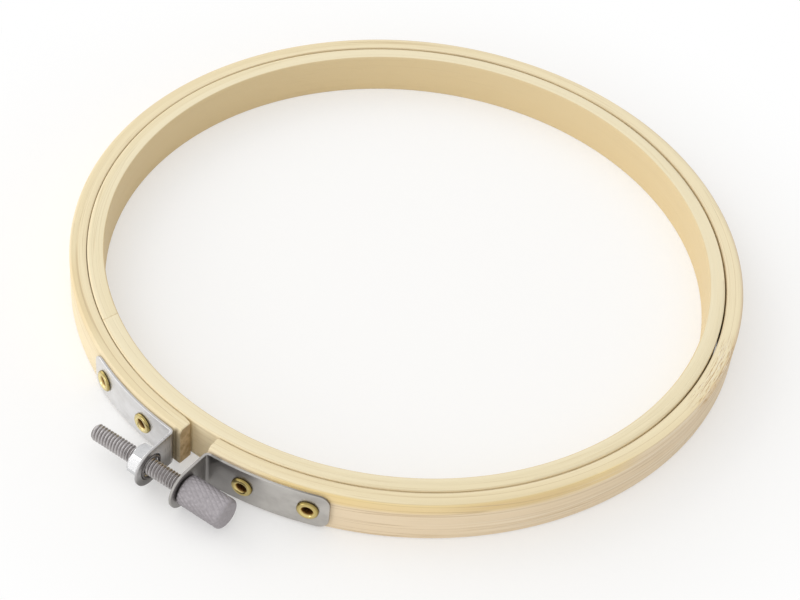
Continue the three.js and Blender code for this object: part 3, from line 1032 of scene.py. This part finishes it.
def inner_ring_mesh():
    """The closed strip, scored along its glued joint so that the grain can change there."""
    angles = np.linspace(0, 2 * math.pi, ring_steps, endpoint=False)
    arc = angles * inner_ring_outside
    edges = [wander(arc, *strokes) for strokes in sanded_rounds]
    spread = np.clip(thick_side_spread * np.cos(angles - thick_side_turn), 0, 1)
    outside = inner_ring_outside + (fuller + thick_side * spread)
    sections = strip_sections(inner_ring_inside, outside, edges, edges, sanded_round)
    walls = inner_ring_inside, inner_ring_outside
    sections = uneven(sections, arc, *walls, dip=inner_ring_dip, hollow=inner_ring_hollow, seed=23)
    built = welded([lofted(round_the_centre(sections, angles), closed=True)])
    near = inner_ring_inside * Vector((math.cos(scarf_turn), math.sin(scarf_turn), 0))
    wall = inner_ring_outside - inner_ring_inside
    end_turn = scarf_turn + scarf_slant * wall / inner_ring_outside
    far = inner_ring_outside * Vector((math.cos(end_turn), math.sin(end_turn), 0))
    score(built, near, (far - near).cross(Vector((0, 0, 1))))
    return built


inner_ring = make_piece("inner_bamboo_ring", inner_ring_mesh())
lay_grain(inner_ring, inner_ring_inside, inner_ring_outside, scarf_turn, scarf_slant)
sanded_bamboo = bamboo(
    "sanded_bamboo",
    flesh=(0.9, 0.8, 0.565, 1),
    shadow=(0.86, 0.745, 0.49, 1),
    skin=(0.93, 0.8, 0.54, 1),
    inside=(0.72, 0.56, 0.31, 1),
    line=(0.6, 0.44, 0.22, 1),
    lined=0.6,
    seed=5.0,
    scarf=2 * math.pi * inner_ring_outside,
)
dress(inner_ring, sanded_bamboo, "inner_ring", "inner_band")

# The table: a wide matt white sheet. To the camera and in the metal it is as bright as the room, and
# only the hoop's soft shadows show on it, which fade out away from the hoop.
table_half = 4.0  # in metres, as are the next two
shadow_near = 0.085  # how far from the hoop's middle its shadows start to fade
shadow_far = 0.14  # and where they are gone
shadow_plain = 0.37  # how much of the shadows plain white hides near the hoop


def in_view(shade):
    """1 for the camera's own rays and for those that metal or glass sends on, 0 for light."""
    kinds = ("Is Camera Ray", "Is Glossy Ray", "Is Transmission Ray")
    seen, mirrored, passed = (shade.node("ShaderNodeLightPath", output=kind) for kind in kinds)
    return shade.maths("MAXIMUM", seen, shade.maths("MAXIMUM", mirrored, passed))


table_corners = [(x * table_half, y * table_half, 0) for x, y in ((-1, -1), (1, -1), (1, 1), (-1, 1))]
table_mesh = bpy.data.meshes.new("table")
table_mesh.from_pydata(table_corners, [], [(0, 1, 2, 3)])
table = bpy.data.objects.new("table", table_mesh)
bpy.context.scene.collection.objects.link(table)
table_white, shade = new_material("table_white")
seen = in_view(shade)
spot = shade.node("ShaderNodeTexCoord", output="Object")
from_hoop = spot.node("ShaderNodeVectorMath", {"operation": "LENGTH"}, {0: spot}, "Value")
plain = from_hoop.rise(shadow_near, shadow_far) * (1 - shadow_plain) + shadow_plain
sheet_colour = seen.tint((0.94, 0.935, 0.93, 1), (1, 0.995, 0.99, 1))
paper = shade.node("ShaderNodeBsdfDiffuse", {}, {"Color": sheet_colour})
glow = shade.node("ShaderNodeEmission", {}, {"Color": (1, 1, 1, 1), "Strength": 1.0})
sheet_white = shade.node("ShaderNodeMixShader", {}, {0: seen * plain, 1: paper, 2: glow})
shade.node("ShaderNodeOutputMaterial", {}, {"Surface": sheet_white})
table_mesh.materials.append(table_white)

# The light: a pale room, which lights the hoop more from the front and the left and shows as plain
# white, one large soft window on the left, and a small one low in front, which the metal mirrors.
towards_bright_wall = Vector((-0.55, -0.65, 0.5)).normalized()
room_level = 0.735  # how strongly the room lights the hoop on the whole
room_slope = 0.34  # and how much more it does so from the bright wall
window_distance = 1.1
window_colour = (1, 0.99, 0.97)
windows = {  # the direction of each from the hoop, its width in metres, and its power in watts
    "left_window": (Vector((-0.93, 0.0, 0.5)), 0.9, 2.65),
    "front_window": (Vector((-0.365, -0.904, 0.225)), 0.36, 1.1),
}

world = bpy.data.worlds.new("pale_room")
world.use_nodes = True
world.node_tree.nodes.clear()
bpy.context.scene.world = world
room = Shade(world.node_tree)
seen = in_view(room)
direction = room.node("ShaderNodeTexCoord", output="Generated")
facing = direction.node(
    "ShaderNodeVectorMath", {"operation": "DOT_PRODUCT"}, {0: direction, 1: towards_bright_wall}, "Value"
)
strength = seen + (1 - seen) * (facing * room_slope + room_level)
room_white = seen.tint((1, 0.995, 0.98, 1), (1, 1, 1, 1))
background = room.node("ShaderNodeBackground", {}, {"Color": room_white, "Strength": strength})
room.node("ShaderNodeOutputWorld", {}, {"Surface": background})

for name, (towards, width, power) in windows.items():
    window = bpy.data.lights.new(name, "AREA")
    window.shape = "SQUARE"
    window.size = width
    window.energy = power
    window.color = window_colour
    window_lamp = bpy.data.objects.new(name, window)
    window_lamp.location = ring_centre + towards.normalized() * window_distance
    window_lamp.rotation_mode = "QUATERNION"
    window_lamp.rotation_quaternion = (-towards).to_track_quat("-Z", "Y")
    bpy.context.scene.collection.objects.link(window_lamp)

# The camera stands in front and to the right of the hoop and looks down on it across the clamp. Its
# place and lens follow from the edges of the rings as the photograph shows them.
camera_place = Vector((174.6, -294.01, 329.2))
camera_right = Vector((0.81029, 0.57999, 0.0839))
camera_ahead = Vector((-0.36488, 0.61135, -0.70222))
focal_pixels = 1950.1
image_width = 800
camera = bpy.data.cameras.new("camera")
camera.sensor_width = 36
camera.lens = camera.sensor_width * focal_pixels / image_width
camera.clip_start = 0.01
camera_object = bpy.data.objects.new("camera", camera)
right = camera_right.normalized()
back = -camera_ahead.normalized()
above = back.cross(right).normalized()
camera_object.matrix_world = Matrix.Translation(ring_centre + camera_place * millimetre) @ Matrix(
    (right, above, right.cross(above))
).transposed().to_4x4()
bpy.context.scene.collection.objects.link(camera_object)
bpy.context.scene.camera = camera_object
bpy.context.scene.view_settings.view_transform = "Standard"
